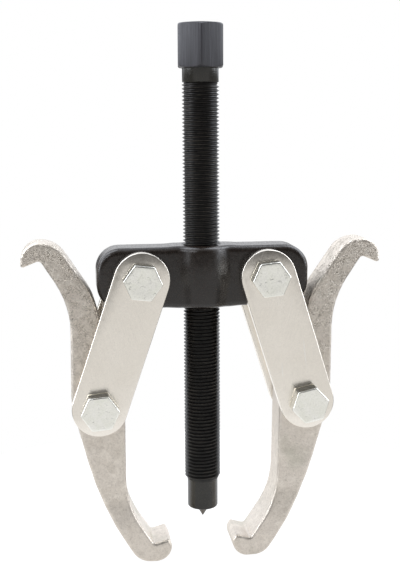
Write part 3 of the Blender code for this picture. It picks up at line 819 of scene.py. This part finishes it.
def build_screw():
    """One turned piece: hexagon, neck, long thread, nose and the bore for its point."""
    bm = bmesh.new()
    edge = 0.22 * MM
    rings = [circle(bm, r * MM, HEAD_TOP - drop * MM, "Z", radians(HEAD_TURN))
             for r, drop in ((0, 0), (3, 0.02), (5.5, 0.07), (7.0, 0.13))]
    top_rows = hex_rows(HEAD_HEX, HEAD_TOP_CHAMFER, HEAD_TURN, HEAD_TOP - 0.18 * MM, -1, edge, "Z")
    rings += [make(bm) for make in top_rows]
    rings += [make(bm) for make in reversed(
        hex_rows(HEAD_HEX, HEAD_SEAT_CHAMFER, HEAD_TURN, HEAD_BOTTOM, 1, 0.2 * MM, "Z"))]
    rings += [circle(bm, r, z, "Z", radians(HEAD_TURN)) for r, z in (
        (NECK_RADIUS + 0.4 * MM, HEAD_BOTTOM), (NECK_RADIUS + 0.1 * MM, HEAD_BOTTOM - 0.12 * MM),
        (NECK_RADIUS, HEAD_BOTTOM - 0.5 * MM), (NECK_RADIUS, THREAD_TOP - 0.05 * MM),
        (NECK_RADIUS - 0.18 * MM, THREAD_TOP - 0.25 * MM))]
    root = THREAD_RADIUS - THREAD_DEPTH_SHARE * THREAD_PITCH
    top, bottom = THREAD_TOP - 0.4 * MM, THREAD_BOTTOM

    def limit(z):
        upper = root + 0.15 * MM + (top - z) * 1.0
        lower = root - 0.1 * MM + (z - bottom) * 0.75
        return max(min(THREAD_RADIUS, upper, lower), NOSE_RADIUS)

    first, last = thread(bm, THREAD_RADIUS, THREAD_PITCH, top, bottom, limit, "Z")
    # the head's rings start at its first corner, so the join steps round to match
    offset = round(HEAD_TURN / 360 * COLUMNS) % COLUMNS
    rings.append(first[offset:] + first[:offset])
    skin(bm, rings)
    bore = POINT_BORE_RADIUS
    lower_rings = [last] + [circle(bm, r, z, "Z") for r, z in (
        (NOSE_RADIUS + 0.12 * MM, bottom - 0.1 * MM), (NOSE_RADIUS, bottom - 0.35 * MM),
        (NOSE_RADIUS, NOSE_FACE + 0.7 * MM), (NOSE_RADIUS - 0.08 * MM, NOSE_FACE + 0.4 * MM),
        (NOSE_RADIUS - 0.3 * MM, NOSE_FACE + 0.1 * MM), (NOSE_RADIUS - 0.6 * MM, NOSE_FACE),
        (bore + 0.15 * MM, NOSE_FACE), (bore, NOSE_FACE + 0.15 * MM), (bore, POINT_BORE_TOP),
        (0, POINT_BORE_TOP + 0.6 * MM))]
    skin(bm, lower_rings)
    screw = new_object("forcing_screw_turned", bm)
    for face in screw.data.polygons:
        z = face.center.z
        if z > HEAD_BOTTOM - 0.05 * MM:
            face.material_index = HEX_SLOT
        elif z > top or z < bottom:
            face.material_index = TURNED_SLOT
    return screw


def build_point():
    """Hardened pin with a ground 60 degree point and a small flat at the tip."""
    b, s = POINT_BASE_RADIUS, POINT_SHANK_RADIUS
    base = NOSE_FACE - 0.5 * MM
    return turned("center_point", [
        (0, POINT_TIP), (0.12 * MM, POINT_TIP + 0.02 * MM), (0.3 * MM, POINT_TIP + 0.32 * MM),
        (b - 0.15 * MM, base - 0.24 * MM), (b, base + 0.02 * MM), (b, NOSE_FACE - GAP - 0.05 * MM),
        (b - 0.05 * MM, NOSE_FACE - GAP), (s + 0.02 * MM, NOSE_FACE - GAP),
        (s, NOSE_FACE - GAP + 0.05 * MM),
        (s, POINT_SHANK_TOP - 0.3 * MM), (s - 0.3 * MM, POINT_SHANK_TOP), (0, POINT_SHANK_TOP)])


def add_piece(obj, node, body):
    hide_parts(node)
    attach(obj, body)


def build_puller():
    add_piece(shade(build_crosshead(), black_forging("crosshead_black")),
              "crosshead", "crosshead")
    screw = shade(build_screw(), black_oxide_thread("screw_thread"), black_oxide_hex("screw_hex"),
                  black_oxide_turned("screw_turned"), sharp=50)
    add_piece(screw, "forcing_screw", "screw")
    add_piece(shade(build_point(), ground_steel("point_steel")), "center_pin", "point")
    nylon_look = nylon("nylon_blue")
    nut_look = zinc_fastener("nut_zinc", (0.74, 0.73, 0.69), 0.7)
    for number, (side, sign) in enumerate((("left", -1), ("right", 1))):
        swing = radians(LINK_ANGLE[side])
        upper = Vector((sign * PIVOT_HALF_SPAN, 0, 0))
        lower = upper + LINK_LENGTH * Vector((sign * sin(swing), 0, -cos(swing)))
        strap = zinc_strap(f"link_zinc_{side}", -sign * LINK_ANGLE[side], 9.0 * number)
        for place, front in (("front", True), ("rear", False)):
            link = shade(build_link(f"strap_{place}_{side}", upper, lower, front), strap)
            add_piece(link, f"link_{place}_{side}", f"links_{side}")
        jaw = build_jaw(f"jaw_forging_{side}", lower, sign, JAW_TURN[side], 5.0 + 7.7 * number)
        add_piece(shade(jaw, zinc_forging(f"jaw_zinc_{side}", 0.41 * number)),
                  f"jaw_{side}", f"jaw_{side}")
        for level, pivot, body in (("upper", upper, "crosshead"), ("lower", lower, f"links_{side}")):
            spot_name = f"{level}_{side}"
            turn = BOLT_HEAD_TURN[spot_name]
            seed = 0.13 * number + (0.31 if level == "upper" else 0.0)
            bolt_look = zinc_fastener(f"bolt_zinc_{spot_name}", (0.92, 0.915, 0.83), seed)
            add_piece(shade(build_bolt(f"hex_bolt_{spot_name}", pivot, turn), bolt_look),
                      f"bolt_{spot_name}", body)
            add_piece(shade(build_nut(f"lock_nut_{spot_name}", pivot, turn + NUT_TURN), nut_look),
                      f"nut_{spot_name}", body)
            add_piece(shade(build_ring(f"ring_{spot_name}", pivot), nylon_look),
                      f"nylon_ring_{spot_name}", body)


# ---------------------------------------------------------------- stage, light and camera

FLOOR_HEIGHT = CAD_BOX[0].z - 0.5 * MM
FLOOR_RADIUS = 0.16
FLOOR_WHITE = 0.93                  # light from within, to the eye
FLOOR_FRONT, FLOOR_BACK = 0.68, 0.80    # light from within, to the object, at its front and back


def build_floor():
    """Plain pale floor, lit from within like a light table, a little brighter at the back."""
    bm = bmesh.new()
    skin(bm, [circle(bm, r, FLOOR_HEIGHT, "Z") for r in (0, 0.3 * FLOOR_RADIUS, FLOOR_RADIUS)])
    floor = new_object("studio_floor", bm)
    look = Look("studio_floor", 0.0, 0.0)
    look.shader.inputs["Emission Color"].default_value = (1.0, 1.0, 1.0, 1.0)
    glow = look.fit(look.axis(1), -0.03, 0.05, FLOOR_FRONT, FLOOR_BACK, smooth=True)
    seen = look.add("ShaderNodeLightPath").outputs["Is Camera Ray"]
    level = look.add("ShaderNodeMix", {"Factor": seen}, data_type="FLOAT")
    look.put(level.inputs[2], glow)
    level.inputs[3].default_value = FLOOR_WHITE
    look.put(look.shader.inputs["Emission Strength"], level.outputs[0])
    floor.data.materials.append(look.finish((0.16, 0.16, 0.16), 1.0))


# Light round the object as (height of the direction from -1 to 1, red, green, blue) steps, in
# three sectors: the front is lit below the horizon and dark above it, the sides are lit from the
# horizon up, and the back wall has a dark band at the horizon.
FRONT_LIGHT = [(-1.0, 0.37, 0.37, 0.37), (-0.09, 0.39, 0.39, 0.39), (0.03, 0.05, 0.05, 0.05),
               (0.72, 0.05, 0.05, 0.05), (0.95, 0.30, 0.30, 0.30)]
SIDE_LIGHT = [(-1.0, 0.14, 0.14, 0.14), (-0.18, 0.15, 0.15, 0.15), (0.00, 0.88, 0.92, 0.98),
              (1.0, 0.50, 0.52, 0.56)]
BACK_LIGHT = [(-1.0, 0.55, 0.55, 0.55), (-0.17, 0.52, 0.52, 0.52), (-0.09, 0.02, 0.02, 0.02),
              (0.02, 0.02, 0.02, 0.02), (0.11, 0.68, 0.69, 0.71), (1.0, 0.50, 0.52, 0.56)]
WORLD_STRENGTH = 2.0


def build_world():
    """Soft surround of a light tent; the eye sees plain white."""
    world = bpy.data.worlds.new("studio")
    world.use_nodes = True
    bpy.context.scene.world = world
    tree = world.node_tree
    new, link = tree.nodes.new, tree.links.new
    background = tree.nodes["Background"]
    parts = new("ShaderNodeSeparateXYZ")
    link(new("ShaderNodeTexCoord").outputs["Generated"], parts.inputs[0])

    def math(operation, one, two):
        made = new("ShaderNodeMath")
        made.operation = operation
        for socket, value in zip(made.inputs, (one, two)):
            if isinstance(value, bpy.types.NodeSocket):
                link(value, socket)
            else:
                socket.default_value = value
        return made.outputs[0]

    def span(value, low, high, out_low=0.0, out_high=1.0):
        made = new("ShaderNodeMapRange")
        made.interpolation_type = "SMOOTHSTEP"
        link(value, made.inputs["Value"])
        for key, number in (("From Min", low), ("From Max", high),
                            ("To Min", out_low), ("To Max", out_high)):
            made.inputs[key].default_value = number
        return made.outputs[0]

    def ramp(steps):
        made = new("ShaderNodeValToRGB")
        link(span(parts.outputs[2], -1.0, 1.0), made.inputs["Fac"])
        made.color_ramp.interpolation = "EASE"
        elements = made.color_ramp.elements
        while len(elements) < len(steps):
            elements.new(1.0)
        for element, (height, *colour) in zip(elements, steps):
            share = (height + 1) / 2
            element.position = share * share * (3 - 2 * share)
            element.color = (*colour, 1.0)
        return made.outputs["Color"]

    def mix(factor, one, two):
        made = new("ShaderNodeMix")
        made.data_type = "RGBA"
        for socket, value in ((made.inputs["Factor"], factor),
                              (made.inputs[6], one), (made.inputs[7], two)):
            link(value, socket)
        return made.outputs[2]

    x, y = parts.outputs[0], parts.outputs[1]
    level = math("SQRT", math("ADD", math("MULTIPLY", x, x), math("MULTIPLY", y, y)), 0.0)
    toward_back = math("DIVIDE", y, math("MAXIMUM", level, 0.001))
    front = span(toward_back, -0.64, -0.46, 1.0, 0.0)
    back = span(toward_back, 0.80, 0.95)
    colour = mix(back, mix(front, ramp(SIDE_LIGHT), ramp(FRONT_LIGHT)), ramp(BACK_LIGHT))
    seen = new("ShaderNodeLightPath").outputs["Is Camera Ray"]
    plain = new("ShaderNodeRGB").outputs[0]
    plain.default_value = (1.0, 1.0, 1.0, 1.0)
    link(mix(seen, colour, plain), background.inputs["Color"])
    link(span(seen, 0.0, 1.0, WORLD_STRENGTH, 1.0), background.inputs["Strength"])


def area_light(name, place, target, size, power, colour=(1.0, 1.0, 1.0)):
    data = bpy.data.lights.new(name, "AREA")
    data.shape, data.size, data.size_y = "RECTANGLE", *size
    data.energy, data.color = power, colour
    light = bpy.data.objects.new(name, data)
    bpy.context.scene.collection.objects.link(light)
    light.location = place
    light.rotation_mode = "QUATERNION"
    light.rotation_quaternion = (Vector(target) - Vector(place)).to_track_quat("-Z", "Y")
    light.visible_camera = False
    return light


def build_lights():
    area_light("left_softbox", (-0.75, -0.06, 0.22), (0, 0, 0), (0.35, 0.5), 2.6, (0.92, 0.95, 1.0))
    area_light("right_softbox", (0.75, -0.02, 0.22), (0, 0, 0), (0.35, 0.5), 2.6, (0.92, 0.95, 1.0))
    area_light("front_left_softbox", (-0.45, -0.42, 0.51), (0, 0, 0), (0.22, 0.22), 0.8, (0.92, 0.95, 1.0))
    area_light("top_left_softbox", (-0.42, 0.18, 0.66), (0, 0, 0), (0.35, 0.7), 3.0, (0.90, 0.94, 1.0))
    area_light("top_right_softbox", (0.46, 0.18, 0.64), (0, 0, 0), (0.35, 0.7), 3.0, (0.90, 0.94, 1.0))


CAMERA_PLACE = Vector((-0.0530, -0.3785, 0.0603))
CAMERA_YAW, CAMERA_PITCH, CAMERA_ROLL = 0.1375, 0.1745, -0.006      # radians
CAMERA_LENS = 60.66


def build_camera():
    forward = Vector((sin(CAMERA_YAW) * cos(CAMERA_PITCH), cos(CAMERA_YAW) * cos(CAMERA_PITCH),
                      -sin(CAMERA_PITCH)))
    right = Vector((cos(CAMERA_YAW), -sin(CAMERA_YAW), 0))
    up = right.cross(forward)
    c, s = cos(CAMERA_ROLL), sin(CAMERA_ROLL)
    data = bpy.data.cameras.new("photo_view")
    data.lens, data.sensor_width, data.sensor_fit = CAMERA_LENS, 36.0, "AUTO"
    data.clip_start, data.clip_end = 0.01, 50.0
    camera = bpy.data.objects.new("photo_view", data)
    bpy.context.scene.collection.objects.link(camera)
    axes = Matrix((c * right + s * up, -s * right + c * up, -forward)).transposed()
    camera.matrix_world = Matrix.Translation(CAMERA_PLACE) @ axes.to_4x4()
    bpy.context.scene.camera = camera


build_puller()
build_floor()
build_world()
build_lights()
build_camera()
bpy.context.scene.view_settings.view_transform = "Standard"
